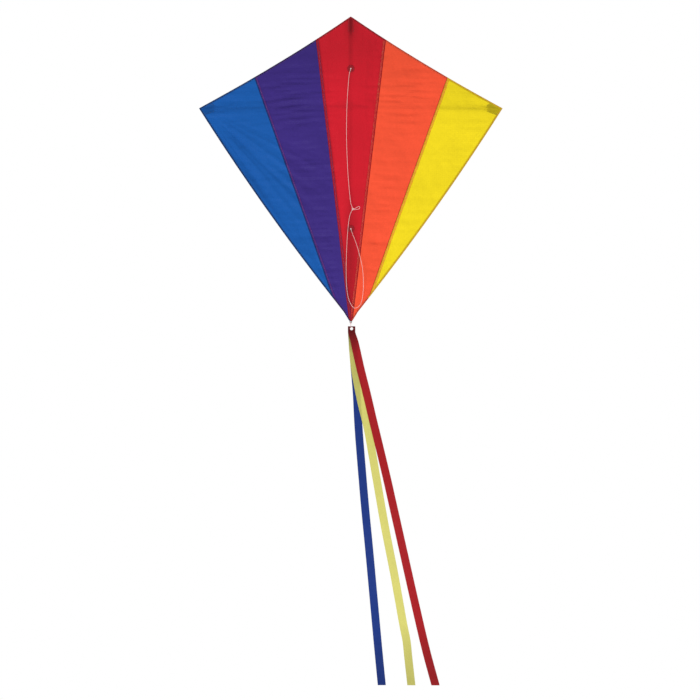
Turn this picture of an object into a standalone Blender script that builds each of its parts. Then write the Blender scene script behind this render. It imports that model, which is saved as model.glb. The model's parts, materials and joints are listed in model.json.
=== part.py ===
"""Diamond kite, 762 mm span, with five sail panels, a two-leg bridle and a tail of three streamers.

Frame: Z up along the spine, X to the right seen from the front, the sail's front faces -Y.
The origin is on the back face of the centre fitting, where the cross spar meets the spine.
"""
import math

import bmesh
import bpy
from mathutils import Matrix, Vector

# Outline of the sail, seen from the front (metres)
HALF_SPAN = 0.381
NOSE_Z = 0.222
TAIL_Z = -0.534
KINK_X = 0.0174
KINK_Z = -0.512
LEAD_HOLLOW = 0.0472
TRAIL_BELLY = 0.042
TIP_HALF = 0.004
DIHEDRAL = math.radians(7.5)

# Seams between panels: half width where they cross the spar, and their slope
INNER_SEAM_X = 0.0672
INNER_SEAM_SLOPE = 0.1185
OUTER_SEAM_X = 0.2147
OUTER_SEAM_SLOPE = 0.3570

# Layers from the back face of the fitting (Y = 0) to the front
SPINE_Y = -0.0060
SAIL_BACK_Y = -0.0099
SAIL_T = 0.0005
GAP = 0.0003
FOLD_X = 0.0090
FOLD_Y = SPINE_Y

# Frame rods
SPINE_R = 0.0020
SPAR_R = 0.0020
ROD_FIT = 0.00025
SPINE_TOP_Z = 0.2120
SPINE_FOOT_Z = -0.5300
CAP_R = 0.0031
SLEEVE_R = 0.0034
SLEEVE_L = 0.032
SPAR_TIP_X = 0.3700
HUB_HALF_H = 0.011
HUB_HALF_W = 0.0052
POCKET_WALL = 0.0007

# Bridle
EYE_UP_Z = 0.092
EYE_LOW_Z = -0.306
PATCH_R = 0.0085
HOLE_R = 0.0028
BRIDLE_R = 0.00045

# Tail
TAIL_HOLE_Z = -0.5370
TAB_T = 0.0012
TAB_HALF_W = 0.0036
TAB_END_HALF_W = 0.0022
TAB_TOP_Z = -0.5330
TAB_END_Z = -0.5405
TAB_HOLE_R = 0.0016
LOOP_HALF_D = 0.0042
LOOP_R = 0.0006
STREAM_HOLE_X = 0.0020
STREAM_HOLE_Z = -0.5540
STREAM_HOLE_R = 0.0038
STREAM_TOP_HALF_W = 0.0092
STREAM_TOP_RISE = 0.0060
STREAM_W = 0.0200
STREAM_T = 0.0005
STREAM_END_Z = -1.4400
STREAM_STEP = 0.0011

# Colours
BLUE = (0.012, 0.105, 0.41)
PURPLE = (0.05, 0.025, 0.20)
RED = (0.63, 0.014, 0.027)
ORANGE = (0.87, 0.09, 0.04)
YELLOW = (0.84, 0.69, 0.016)
POCKET_RED = (0.035, 0.012, 0.014)
POCKET_BLUE = (0.015, 0.03, 0.09)
POCKET_YELLOW = (0.10, 0.07, 0.02)
PATCH = (0.30, 0.010, 0.018)
FIBREGLASS = (0.03, 0.03, 0.035)
CAP = (0.015, 0.015, 0.015)
SLEEVE = (0.02, 0.02, 0.02)
FITTING = (0.02, 0.02, 0.022)
LINE = (0.86, 0.72, 0.70)
STRING = (0.80, 0.62, 0.62)
STREAMER_TONES = {"red": (0.42, 0.012, 0.025), "yellow": (0.66, 0.64, 0.11), "blue": (0.02, 0.04, 0.30)}

for old in list(bpy.data.objects):
    bpy.data.objects.remove(old, do_unlink=True)

parts = bpy.data.collections.new("diamond_kite")
cutters = bpy.data.collections.new("cutters")
bpy.context.scene.collection.children.link(parts)
bpy.context.scene.collection.children.link(cutters)


def material(name, color, rough):
    mat = bpy.data.materials.new(name)
    mat.use_nodes = True
    shader = mat.node_tree.nodes["Principled BSDF"]
    shader.inputs["Base Color"].default_value = (*color, 1.0)
    shader.inputs["Roughness"].default_value = rough
    mat.diffuse_color = (*color, 1.0)
    return mat


def add(name, mesh, color, rough=0.6, smooth=False):
    obj = bpy.data.objects.new(name, mesh)
    parts.objects.link(obj)
    mesh.materials.clear()
    mesh.materials.append(material(name, color, rough))
    for face in mesh.polygons:
        face.use_smooth = smooth
    return obj


def prism(name, outline, y_back, y_front, color, rough=0.6):
    """Closed plate from an outline of (x, z) points, between two Y planes."""
    bm = bmesh.new()
    ring = [bm.verts.new((x, y_front, z)) for x, z in outline]
    face = bm.faces.new(ring)
    grown = bmesh.ops.extrude_face_region(bm, geom=[face])
    moved = [v for v in grown["geom"] if isinstance(v, bmesh.types.BMVert)]
    bmesh.ops.translate(bm, verts=moved, vec=(0.0, y_back - y_front, 0.0))
    bmesh.ops.triangulate(bm, faces=bm.faces[:])
    bmesh.ops.recalc_face_normals(bm, faces=bm.faces[:])
    mesh = bpy.data.meshes.new(name)
    bm.to_mesh(mesh)
    bm.free()
    return add(name, mesh, color, rough)


def turned(name, profile, color, rough=0.5, steps=24, turn=None):
    """Solid of revolution about local Z from (radius, z) pairs, top to bottom."""
    bm = bmesh.new()
    rings = []
    for radius, z in profile:
        if radius < 1e-6:
            rings.append([bm.verts.new((0.0, 0.0, z))])
            continue
        ring = []
        for i in range(steps):
            a = 2.0 * math.pi * i / steps
            ring.append(bm.verts.new((radius * math.cos(a), radius * math.sin(a), z)))
        rings.append(ring)
    for a, b in zip(rings, rings[1:]):
        for i in range(steps):
            j = (i + 1) % steps
            corners = [a[i % len(a)], b[i % len(b)], b[j % len(b)], a[j % len(a)]]
            bm.faces.new(list(dict.fromkeys(corners)))
    for ring in (rings[0], rings[-1]):
        if len(ring) > 1 and profile[0] != profile[-1]:
            bm.faces.new(ring)
    if profile[0] == profile[-1]:
        bmesh.ops.remove_doubles(bm, verts=bm.verts[:], dist=1e-6)
    bmesh.ops.recalc_face_normals(bm, faces=bm.faces[:])
    if turn is not None:
        bmesh.ops.transform(bm, matrix=turn, verts=bm.verts[:])
    mesh = bpy.data.meshes.new(name)
    bm.to_mesh(mesh)
    bm.free()
    return add(name, mesh, color, rough, smooth=True)


def block(name, low, high, color, rough=0.5, bevel=0.0):
    """Box between two corners, with rounded edges when bevel is set."""
    bm = bmesh.new()
    bmesh.ops.create_cube(bm, size=1.0)
    centre = (Vector(low) + Vector(high)) / 2.0
    size = Vector(high) - Vector(low)
    bmesh.ops.scale(bm, vec=size, verts=bm.verts[:])
    bmesh.ops.translate(bm, vec=centre, verts=bm.verts[:])
    mesh = bpy.data.meshes.new(name)
    bm.to_mesh(mesh)
    bm.free()
    obj = add(name, mesh, color, rough)
    if bevel > 0.0:
        mod = obj.modifiers.new("round", "BEVEL")
        mod.width = bevel
        mod.segments = 2
    return obj


def cut(target, cutter):
    """Take one object's shape out of another and keep the cutter hidden."""
    parts.objects.unlink(cutter)
    cutters.objects.link(cutter)
    cutter.hide_render = True
    cutter.display_type = "WIRE"
    mod = target.modifiers.new("cut_" + cutter.name, "BOOLEAN")
    mod.operation = "DIFFERENCE"
    mod.solver = "EXACT"
    mod.object = cutter


def smooth_route(points, count):
    """Evenly spaced points on a Catmull-Rom curve through the given points."""
    pts = [Vector(p) for p in points]
    ends = [pts[0] * 2.0 - pts[1]] + pts + [pts[-1] * 2.0 - pts[-2]]
    dense = []
    for i in range(1, len(ends) - 2):
        a, b, c, d = ends[i - 1:i + 3]
        for k in range(24):
            t = k / 24.0
            dense.append(0.5 * (2.0 * b + (c - a) * t + (2.0 * a - 5.0 * b + 4.0 * c - d) * t * t
                                + (3.0 * b - 3.0 * c + d - a) * t * t * t))
    dense.append(pts[-1])
    length = [0.0]
    for a, b in zip(dense, dense[1:]):
        length.append(length[-1] + (b - a).length)
    result = []
    at = 0
    for i in range(count):
        want = length[-1] * i / (count - 1)
        while at < len(dense) - 2 and length[at + 1] < want:
            at += 1
        span = max(length[at + 1] - length[at], 1e-9)
        result.append(dense[at].lerp(dense[at + 1], (want - length[at]) / span))
    return result


def cord(name, points, radius, color, count, closed=False, rough=0.75):
    curve = bpy.data.curves.new(name, "CURVE")
    curve.dimensions = "3D"
    curve.bevel_depth = radius
    curve.bevel_resolution = 2
    curve.use_fill_caps = not closed
    route = [Vector(p) for p in points] if closed else smooth_route(points, count)
    spline = curve.splines.new("POLY")
    spline.points.add(len(route) - 1)
    for point, place in zip(spline.points, route):
        point.co = (*place, 1.0)
    spline.use_cyclic_u = closed
    obj = bpy.data.objects.new(name, curve)
    parts.objects.link(obj)
    curve.materials.append(material(name, color, rough))
    return obj


# ---------------------------------------------------------------- sail outline
def half_width(z):
    """Half the sail's width at height z: hollow leading edge, full trailing edge."""
    if z >= 0.0:
        t = (NOSE_Z - z) / NOSE_Z
        return HALF_SPAN * t - LEAD_HOLLOW * t * (1.0 - t)
    if z >= KINK_Z:
        t = z / KINK_Z
        return HALF_SPAN + (KINK_X - HALF_SPAN) * t + TRAIL_BELLY * t * (1.0 - t)
    t = (z - KINK_Z) / (TAIL_Z - KINK_Z)
    return KINK_X + (TIP_HALF - KINK_X) * t


def inner_seam(z):
    """Seam between the red panel and the panel next to it."""
    return INNER_SEAM_X + INNER_SEAM_SLOPE * z


def outer_seam(z):
    """Seam between the middle panel and the wing panel."""
    return OUTER_SEAM_X + OUTER_SEAM_SLOPE * z


def crossing(seam, low, high):
    """Height where a seam meets the sail's edge."""
    inside = seam(low) < half_width(low)
    for _ in range(40):
        mid = (low + high) / 2.0
        if (seam(mid) < half_width(mid)) == inside:
            low = mid
        else:
            high = mid
    return (low + high) / 2.0


INNER_TOP = crossing(inner_seam, 0.10, 0.21)
OUTER_TOP = crossing(outer_seam, 0.02, 0.15)
OUTER_LOW = crossing(outer_seam, -0.30, -0.50)
FOLD_TOP = crossing(lambda z: FOLD_X, 0.10, 0.2219)
FOLD_LOW = crossing(lambda z: FOLD_X, -0.30, -0.535)


def edge(z_from, z_to, steps):
    """Points on the sail's edge from one height to another."""
    heights = [z_from + (z_to - z_from) * i / steps for i in range(steps + 1)]
    return [(half_width(z), z) for z in heights]


HALF_GAP = GAP / 2.0
JOIN_Z = (FOLD_X - INNER_SEAM_X) / INNER_SEAM_SLOPE
RED_LOW = JOIN_Z + 0.0085

# Right-hand panels, each drawn flat in the plane of its wing
red_side = ([(FOLD_X + GAP, RED_LOW), (FOLD_X + GAP, FOLD_TOP)]
            + edge(FOLD_TOP - 0.0005, INNER_TOP + 0.001, 4)
            + [(inner_seam(INNER_TOP), INNER_TOP)]
            + [(inner_seam(RED_LOW), RED_LOW)])
middle = ([(FOLD_X + GAP, FOLD_LOW + 0.0015), (FOLD_X + GAP, JOIN_Z),
           (inner_seam(INNER_TOP) + GAP, INNER_TOP)]
          + edge(INNER_TOP - 0.001, OUTER_TOP + 0.001, 6)
          + [(outer_seam(OUTER_TOP) - HALF_GAP, OUTER_TOP), (outer_seam(OUTER_LOW) - HALF_GAP, OUTER_LOW)]
          + edge(OUTER_LOW - 0.001, -0.511, 4))
wing = ([(outer_seam(OUTER_LOW) + HALF_GAP, OUTER_LOW), (outer_seam(OUTER_TOP) + HALF_GAP, OUTER_TOP)]
        + edge(OUTER_TOP - 0.001, 0.004, 6)
        + [(HALF_SPAN - 0.0010, 0.0), (HALF_SPAN - 0.0035, -0.004)]
        + edge(-0.008, OUTER_LOW + 0.001, 12))


def clean(points):
    """Drop points that nearly repeat the one before."""
    kept = [points[0]]
    for point in points[1:]:
        if math.dist(point, kept[-1]) > 0.0009:
            kept.append(point)
    return kept


def wing_frame(side):
    """Placement of one wing: its fold line moved to the hinge and turned back by the dihedral."""
    turn = Matrix.Rotation(side * DIHEDRAL, 4, "Z")
    place = Matrix.Translation((side * FOLD_X, FOLD_Y, 0.0))
    return place @ turn @ place.inverted()


def in_wing(obj, side):
    obj.data.transform(wing_frame(side))
    return obj


def flatten(points):
    """Lengthen the drawn widths so that the wing turned back still spans the outline."""
    return [(FOLD_X + (x - FOLD_X) / math.cos(DIHEDRAL), z) for x, z in points]


def wing_plate(name, outline, side, y_back, y_front, color, rough=0.6):
    pts = [(side * x, z) for x, z in flatten(clean(outline))]
    return in_wing(prism(name, pts, y_back, y_front, color, rough), side)


SAIL_FRONT_Y = SAIL_BACK_Y - SAIL_T
TO_FRONT = Matrix.Rotation(math.pi / 2.0, 4, "X")


def facing(x, y, z):
    """Placement that turns a shape's axis from Z towards the front and back."""
    return Matrix.Translation((x, y, z)) @ TO_FRONT


def on_spine(z):
    return Matrix.Translation((0.0, SPINE_Y, z))


# ---------------------------------------------------------------- sail
centre = ([(-x, z) for x, z in edge(TAIL_Z, FOLD_LOW, 3) if x <= FOLD_X]
          + [(-FOLD_X, FOLD_LOW), (-FOLD_X, FOLD_TOP), (-0.0015, NOSE_Z - 0.0010)])
centre = centre + [(-x, z) for x, z in reversed(centre)]
red_centre = prism("sail_red_panel_centre", clean(centre), SAIL_BACK_Y, SAIL_FRONT_Y, RED)
for tag, eye_z in (("upper", EYE_UP_Z), ("lower", EYE_LOW_Z)):
    hole = turned("eyelet_hole_" + tag, [(HOLE_R, 0.01), (HOLE_R, -0.01)], RED, steps=16,
                  turn=facing(0.0, SAIL_BACK_Y, eye_z))
    cut(red_centre, hole)

for name, outline, side, tone in (
        ("sail_red_panel_left", red_side, -1, RED),
        ("sail_purple_panel", middle, -1, PURPLE),
        ("sail_blue_panel", wing, -1, BLUE),
        ("sail_red_panel_right", red_side, 1, RED),
        ("sail_orange_panel", middle, 1, ORANGE),
        ("sail_yellow_panel", wing, 1, YELLOW)):
    wing_plate(name, outline, side, SAIL_BACK_Y, SAIL_FRONT_Y, tone)

# ---------------------------------------------------------------- spine and centre fitting
turned("spine_rod", [(SPINE_R, SPINE_TOP_Z), (SPINE_R, SPINE_FOOT_Z)], FIBREGLASS, 0.35, 20, on_spine(0.0))
spine_bore = SPINE_R + ROD_FIT
cap_profile = [(0.0, 0.0), (CAP_R * 0.62, 0.0), (CAP_R, -0.0016), (CAP_R, -0.0130),
               (spine_bore, -0.0130), (spine_bore, -0.0035), (0.0, -0.0035)]
turned("spine_nose_cap", cap_profile, CAP, 0.6, 20, on_spine(SPINE_TOP_Z + 0.0038))

hub = block("centre_fitting", (-HUB_HALF_W, SPINE_Y - 0.0036, -HUB_HALF_H),
            (HUB_HALF_W, 0.0, HUB_HALF_H), FITTING, 0.5, 0.0009)
cut(hub, turned("hub_bore", [(spine_bore, 0.02), (spine_bore, -0.02)], FITTING, steps=20, turn=on_spine(0.0)))

# Tail cap: a socket for the rod above, a thin pierced tab below, drawn from the side and turned to face front
SOCKET_HALF = 0.0034
SOCKET_TOP_Z = SPINE_FOOT_Z + 0.0120
tail_side = [(SOCKET_HALF, SOCKET_TOP_Z), (SOCKET_HALF, TAB_TOP_Z + 0.0012), (TAB_T / 2.0, TAB_TOP_Z),
             (TAB_T / 2.0, TAB_END_Z), (-TAB_T / 2.0, TAB_END_Z), (-TAB_T / 2.0, TAB_TOP_Z),
             (-SOCKET_HALF, TAB_TOP_Z + 0.0012), (-SOCKET_HALF, SOCKET_TOP_Z)]
tail_cap = prism("spine_tail_cap", tail_side, TAB_HALF_W, -TAB_HALF_W, CAP, 0.6)
tail_cap.data.transform(on_spine(0.0) @ Matrix.Rotation(math.pi / 2.0, 4, "Z"))
cut(tail_cap, turned("tail_cap_bore", [(spine_bore, 0.05), (spine_bore, -0.0003)], SLEEVE, steps=20,
                     turn=on_spine(SPINE_FOOT_Z)))
cut(tail_cap, turned("tail_cap_hole", [(TAB_HOLE_R, 0.01), (TAB_HOLE_R, -0.01)], SLEEVE, steps=20,
                     turn=facing(0.0, SPINE_Y, TAIL_HOLE_Z)))
for side, tag in ((-1, "left"), (1, "right")):
    corner = [(side * (TAB_HALF_W + 0.001), TAB_TOP_Z), (side * TAB_HALF_W, TAB_TOP_Z),
              (side * TAB_END_HALF_W, TAB_END_Z), (side * TAB_END_HALF_W, TAB_END_Z - 0.001),
              (side * (TAB_HALF_W + 0.001), TAB_END_Z - 0.001)]
    cut(tail_cap, prism("tab_corner_" + tag, corner, SPINE_Y + 0.01, SPINE_Y - 0.01, CAP))


# ---------------------------------------------------------------- pockets at nose and tail
def tube_pocket(name, z_low, z_high, half_low, half_high):
    """Fabric pocket behind the sail, open towards the rod and closed at its far end."""
    outline = [(-half_low, z_low), (half_low, z_low), (half_high, z_high), (-half_high, z_high)]
    return prism(name, outline, SPINE_Y + 0.0042, SAIL_BACK_Y + GAP, POCKET_RED, 0.8)


nose_pocket = tube_pocket("nose_pocket", 0.1830, 0.2178, 0.0085, 0.0062)
cut(nose_pocket, block("nose_pocket_room", (-0.0036, SPINE_Y - 0.0034, 0.15),
                       (0.0036, SPINE_Y + 0.0034, 0.2162), POCKET_RED))
tail_pocket = tube_pocket("tail_pocket", -0.5120, -0.4850, 0.0080, 0.0085)
cut(tail_pocket, block("tail_pocket_room", (-0.0026, SPINE_Y - 0.0028, -0.55),
                       (0.0026, SPINE_Y + 0.0028, -0.40), POCKET_RED))

# ---------------------------------------------------------------- wings: spars, sleeves, tip pockets
ACROSS = Matrix.Rotation(math.pi / 2.0, 4, "Y")
SPAR_CAP_R = 0.0029
SPAR_REACH = SPAR_TIP_X / math.cos(DIHEDRAL) - FOLD_X
POCKET_FRONT_Y = SAIL_BACK_Y + GAP
spar_bore = SPAR_R + ROD_FIT
spar_lean = math.atan2(SPINE_Y - (POCKET_FRONT_Y + POCKET_WALL + GAP + SPAR_CAP_R), SPAR_TIP_X)
spar_profile = [(SPAR_R, SPAR_REACH), (SPAR_R, 0.0040)]
sleeve_profile = [(0.0, -0.0030), (SLEEVE_R * 0.45, -0.0026), (SLEEVE_R * 0.86, -0.0012), (SLEEVE_R, 0.0012),
                  (SLEEVE_R, SLEEVE_L - 0.0008), (SLEEVE_R - 0.0003, SLEEVE_L), (spar_bore, SLEEVE_L),
                  (spar_bore, 0.0037), (0.0, 0.0037)]
spar_cap_profile = [(0.0, SPAR_REACH + 0.0033), (0.0018, SPAR_REACH + 0.0033),
                    (SPAR_CAP_R, SPAR_REACH + 0.0018), (SPAR_CAP_R, SPAR_REACH - 0.0090),
                    (spar_bore, SPAR_REACH - 0.0090), (spar_bore, SPAR_REACH + 0.0004),
                    (0.0, SPAR_REACH + 0.0004)]
tip_outline = [(0.3770, 0.0026), (0.3770, -0.0030), (0.3655, -0.0165), (0.3400, -0.0165), (0.3400, 0.0155),
               (0.3470, 0.0155)]
for side, tag, tone in ((-1, "left", POCKET_BLUE), (1, "right", POCKET_YELLOW)):
    lean = Matrix.Translation((side * FOLD_X, FOLD_Y, 0.0)) @ Matrix.Rotation(-side * spar_lean, 4, "Z")
    outward = Matrix.Rotation(math.pi if side < 0 else 0.0, 4, "Z")
    place = lean @ outward @ ACROSS
    in_wing(turned("cross_spar_" + tag, spar_profile, FIBREGLASS, 0.35, 20, place), side)
    in_wing(turned("spar_sleeve_" + tag, sleeve_profile, SLEEVE, 0.55, 24, place), side)
    in_wing(turned("spar_cap_" + tag, spar_cap_profile, CAP, 0.6, 20, place), side)
    pocket = wing_plate("wing_tip_pocket_" + tag, tip_outline, side, POCKET_FRONT_Y + 0.0082,
                        POCKET_FRONT_Y, tone, 0.8)
    ends = sorted((side * 0.30, side * 0.3785))
    room = block("tip_room_" + tag, (ends[0], POCKET_FRONT_Y + POCKET_WALL, -0.0034),
                 (ends[1], POCKET_FRONT_Y + 0.0074, 0.0034), tone)
    in_wing(room, side)
    cut(pocket, room)


# ---------------------------------------------------------------- bridle
def torus(name, major, minor, matrix, color, steps=24, ring=8):
    bm = bmesh.new()
    loops = []
    for i in range(steps):
        a = 2.0 * math.pi * i / steps
        loop = []
        for k in range(ring):
            b = 2.0 * math.pi * k / ring
            reach = major + minor * math.cos(b)
            loop.append(bm.verts.new((reach * math.cos(a), reach * math.sin(a), minor * math.sin(b))))
        loops.append(loop)
    for i in range(steps):
        a, b = loops[i], loops[(i + 1) % steps]
        for k in range(ring):
            bm.faces.new((a[k], b[k], b[(k + 1) % ring], a[(k + 1) % ring]))
    bmesh.ops.recalc_face_normals(bm, faces=bm.faces[:])
    bmesh.ops.transform(bm, matrix=matrix, verts=bm.verts[:])
    mesh = bpy.data.meshes.new(name)
    bm.to_mesh(mesh)
    bm.free()
    return add(name, mesh, color, 0.75, smooth=True)


patch_profile = [(PATCH_R, 0.0), (PATCH_R, 0.0006), (HOLE_R, 0.0006), (HOLE_R, 0.0), (PATCH_R, 0.0)]
stopper_profile = [(0.0, 0.0016), (0.0013, 0.0012), (0.0020, 0.0), (0.0013, -0.0012), (0.0, -0.0016)]
for tag, eye_z in (("upper", EYE_UP_Z), ("lower", EYE_LOW_Z)):
    turned("bridle_patch_" + tag, patch_profile, PATCH, 0.7, 28, facing(0.0, SAIL_FRONT_Y - GAP, eye_z))
    turned("bridle_knot_" + tag, stopper_profile, LINE, 0.75, 16, facing(0.0, SAIL_FRONT_Y - 0.0013, eye_z))
    torus("bridle_hitch_" + tag, SPINE_R + BRIDLE_R + GAP, BRIDLE_R, on_spine(eye_z), LINE)

TOW = Vector((0.0052, -0.0165, -0.2570))
front_y = SAIL_FRONT_Y - 0.0026
upper_leg = [(0.0, front_y - 0.0006, EYE_UP_Z - 0.0012), (-0.0045, front_y - 0.0012, 0.072),
             (-0.0095, front_y - 0.0012, 0.000), (-0.0105, front_y - 0.0012, -0.085),
             (-0.0070, front_y - 0.0014, -0.170), (-0.0010, front_y - 0.0026, -0.235),
             (TOW.x - 0.0014, TOW.y, TOW.z + 0.0034)]
cord("bridle_line_upper", upper_leg, BRIDLE_R, LINE, 80)
lower_leg = [(TOW.x - 0.0022, TOW.y, TOW.z - 0.0034), (-0.0040, front_y - 0.0018, -0.280),
             (-0.0095, front_y - 0.0010, -0.340), (-0.0115, front_y - 0.0010, -0.420),
             (-0.0070, front_y - 0.0010, -0.474), (0.0075, front_y - 0.0010, -0.502),
             (0.0245, front_y - 0.0010, -0.492), (0.0310, front_y - 0.0010, -0.455),
             (0.0290, front_y - 0.0010, -0.405), (0.0165, front_y - 0.0010, -0.352),
             (0.0040, front_y - 0.0008, -0.318), (0.0008, front_y - 0.0004, EYE_LOW_Z - 0.0016)]
cord("bridle_line_lower", lower_leg, BRIDLE_R, LINE, 80)
tow_profile = [(0.0, 0.0032), (0.0016, 0.0026), (0.0026, 0.0010), (0.0026, -0.0012), (0.0016, -0.0028),
               (0.0, -0.0033)]
turned("tow_knot", tow_profile, LINE, 0.75, 16, Matrix.Translation(TOW))
loop_pts = [(TOW.x + 0.0034, TOW.y, TOW.z + 0.0006), (TOW.x + 0.0085, TOW.y - 0.001, TOW.z + 0.0030),
            (TOW.x + 0.0140, TOW.y - 0.001, TOW.z + 0.0062), (TOW.x + 0.0172, TOW.y, TOW.z + 0.0044),
            (TOW.x + 0.0150, TOW.y + 0.001, TOW.z + 0.0004), (TOW.x + 0.0088, TOW.y + 0.001, TOW.z - 0.0008),
            (TOW.x + 0.0036, TOW.y + 0.001, TOW.z - 0.0016)]
cord("tow_loop", loop_pts, BRIDLE_R, LINE, 28)

# ---------------------------------------------------------------- tail loop and streamers
hole_rise = math.sqrt(STREAM_HOLE_R ** 2 - STREAM_HOLE_X ** 2)
loop_top_z = TAIL_HOLE_Z + 0.0004
loop_foot_z = STREAM_HOLE_Z + hole_rise - LOOP_R - 2.0 * GAP
loop_mid = (loop_top_z + loop_foot_z) / 2.0
loop_half = (loop_top_z - loop_foot_z) / 2.0
route = []
for i in range(40):
    a = 2.0 * math.pi * i / 40
    depth = max(-1.0, min(1.0, 1.25 * math.sin(a)))
    route.append((0.0, SPINE_Y + LOOP_HALF_D * depth, loop_mid + loop_half * math.cos(a)))
cord("tail_loop", route, LOOP_R, STRING, 40, closed=True)

# Centre line of each streamer as (z, x), from the hole to the cut end
STREAMERS = {
    "red": [(STREAM_HOLE_Z, STREAM_HOLE_X),
            (-0.597, 0.0115), (-0.657, 0.0250), (-0.717, 0.0400), (-0.777, 0.0540),
            (-0.837, 0.0685), (-0.927, 0.0900), (-0.987, 0.1035), (-1.107, 0.1305), (-1.227, 0.1575),
            (-1.347, 0.1855), (STREAM_END_Z, 0.2105)],
    "yellow": [(STREAM_HOLE_Z, STREAM_HOLE_X),
               (-0.609, 0.0060), (-0.657, 0.0110), (-0.735, 0.0260), (-0.807, 0.0430),
               (-0.927, 0.0640), (-1.047, 0.0850), (-1.167, 0.1085), (-1.287, 0.1300), (-1.330, 0.1385),
               (-1.372, 0.1430), (STREAM_END_Z, 0.1505)],
    "blue": [(STREAM_HOLE_Z, STREAM_HOLE_X),
             (-0.597, 0.0050), (-0.657, 0.0100), (-0.717, 0.0150), (-0.777, 0.0180),
             (-0.837, 0.0220), (-0.987, 0.0345), (-1.107, 0.0460), (-1.227, 0.0570), (-1.347, 0.0680),
             (STREAM_END_Z, 0.0770)],
}
LAYER_Y = {"red": SPINE_Y - STREAM_STEP, "yellow": SPINE_Y, "blue": SPINE_Y + STREAM_STEP}


def ribbon(name, centre_line, y_mid, color):
    """Flat ribbon along a centre line, with a punched hole at its top end."""
    line = smooth_route([(x, 0.0, z) for z, x in centre_line], 34)
    left = []
    right = []
    for i, point in enumerate(line):
        after = line[min(i + 1, len(line) - 1)]
        before = line[max(i - 1, 0)]
        along = (after - before).normalized()
        level = Vector((1.0, 0.0, 0.0))
        normal = Vector((-along.z, 0.0, along.x)) if 0 < i < len(line) - 1 else level
        left.append(point - normal * STREAM_W / 2.0)
        right.append(point + normal * STREAM_W / 2.0)
    hole = line[0]
    top_z = hole.z + STREAM_TOP_RISE
    outline = [(hole.x - STREAM_TOP_HALF_W, top_z), (hole.x + STREAM_TOP_HALF_W, top_z)]
    outline += [(p.x, p.z) for p in right[1:]]
    outline += [(p.x, p.z) for p in reversed(left[1:])]
    obj = prism(name, outline, y_mid + STREAM_T / 2.0, y_mid - STREAM_T / 2.0, color)
    cut(obj, turned("hole_" + name, [(STREAM_HOLE_R, 0.01), (STREAM_HOLE_R, -0.01)], color, steps=20,
                    turn=facing(hole.x, y_mid, hole.z)))
    return obj


for tone, color in STREAMER_TONES.items():
    ribbon("streamer_" + tone, STREAMERS[tone], LAYER_Y[tone], color)
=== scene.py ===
"""Looks of the diamond kite: cloth, hems, seams, pockets, bridle, streamers, materials and studio."""
import json
import math

import bpy
import numpy as np
from mathutils import Matrix, Vector, noise


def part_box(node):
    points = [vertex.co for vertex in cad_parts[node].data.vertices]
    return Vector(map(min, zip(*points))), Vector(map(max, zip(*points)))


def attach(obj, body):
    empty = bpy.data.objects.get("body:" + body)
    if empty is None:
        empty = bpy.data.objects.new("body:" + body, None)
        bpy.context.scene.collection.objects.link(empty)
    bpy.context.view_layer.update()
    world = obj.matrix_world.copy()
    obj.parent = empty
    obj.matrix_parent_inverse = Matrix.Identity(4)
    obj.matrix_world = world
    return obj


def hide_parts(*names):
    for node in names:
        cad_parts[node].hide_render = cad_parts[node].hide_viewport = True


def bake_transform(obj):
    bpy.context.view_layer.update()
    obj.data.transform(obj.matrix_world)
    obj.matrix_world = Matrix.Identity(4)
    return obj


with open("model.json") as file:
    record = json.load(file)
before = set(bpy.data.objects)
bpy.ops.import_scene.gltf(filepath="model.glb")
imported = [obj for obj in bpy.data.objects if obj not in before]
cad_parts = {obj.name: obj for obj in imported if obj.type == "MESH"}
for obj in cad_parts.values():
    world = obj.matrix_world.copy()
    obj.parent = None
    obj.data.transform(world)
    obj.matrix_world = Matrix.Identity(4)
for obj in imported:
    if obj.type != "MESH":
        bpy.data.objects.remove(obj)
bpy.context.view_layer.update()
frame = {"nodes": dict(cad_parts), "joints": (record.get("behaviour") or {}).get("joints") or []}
joints = {j["name"]: j for j in frame["joints"]}

# ---------------- sizes, in metres
HINGE = Vector(joints["right_wing_fold"]["pos_m"])
FOLD_X = HINGE.x
CENTRE_LOW, CENTRE_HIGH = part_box("sail_red_panel_centre")
SAIL_Y = (CENTRE_LOW.y + CENTRE_HIGH.y) / 2.0
TAIL_Z = CENTRE_LOW.z
NOSE_Z = CENTRE_HIGH.z + 0.001
SPINE_LOW, SPINE_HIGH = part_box("spine_rod")
SPINE_Y = (SPINE_LOW.y + SPINE_HIGH.y) / 2.0
SPINE_R = (SPINE_HIGH.x - SPINE_LOW.x) / 2.0
DIHEDRAL = math.radians(7.5)
HALF_SPAN = 0.381
KINK_X = 0.0174
KINK_Z = -0.512
LEAD_HOLLOW = 0.0472
TRAIL_BELLY = 0.042
TIP_HALF = 0.004
INNER_SEAM_X = 0.0672
INNER_SLOPE = 0.1185
OUTER_SEAM_X = 0.2147
OUTER_SLOPE = 0.357
GRID = 0.0030
HEM_W = 0.0046
SEAM_W = 0.0066
LINE_R = 0.00045
LOOP_R = 0.0006
# Where the tail string's knot sits, as a share of the ring's half height
TIE_SHARE = 0.55
RIBBON_W = 0.0200
HOLE_R = 0.0038
STREAM_END_Z = -1.440
# Where the sail's UV map, in metres, has the middle of the spine at the cross spar
UV_X0 = 0.5
UV_Z0 = 0.7

# Cloth colours, linear
BLUE = (0.0050, 0.0800, 0.3200)
PURPLE = (0.0340, 0.0165, 0.1620)
RED = (0.5200, 0.0075, 0.0185)
ORANGE = (0.7800, 0.0750, 0.0290)
YELLOW = (0.7500, 0.5900, 0.0105)
BLACK = (0.0100, 0.0095, 0.0110)


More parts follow.
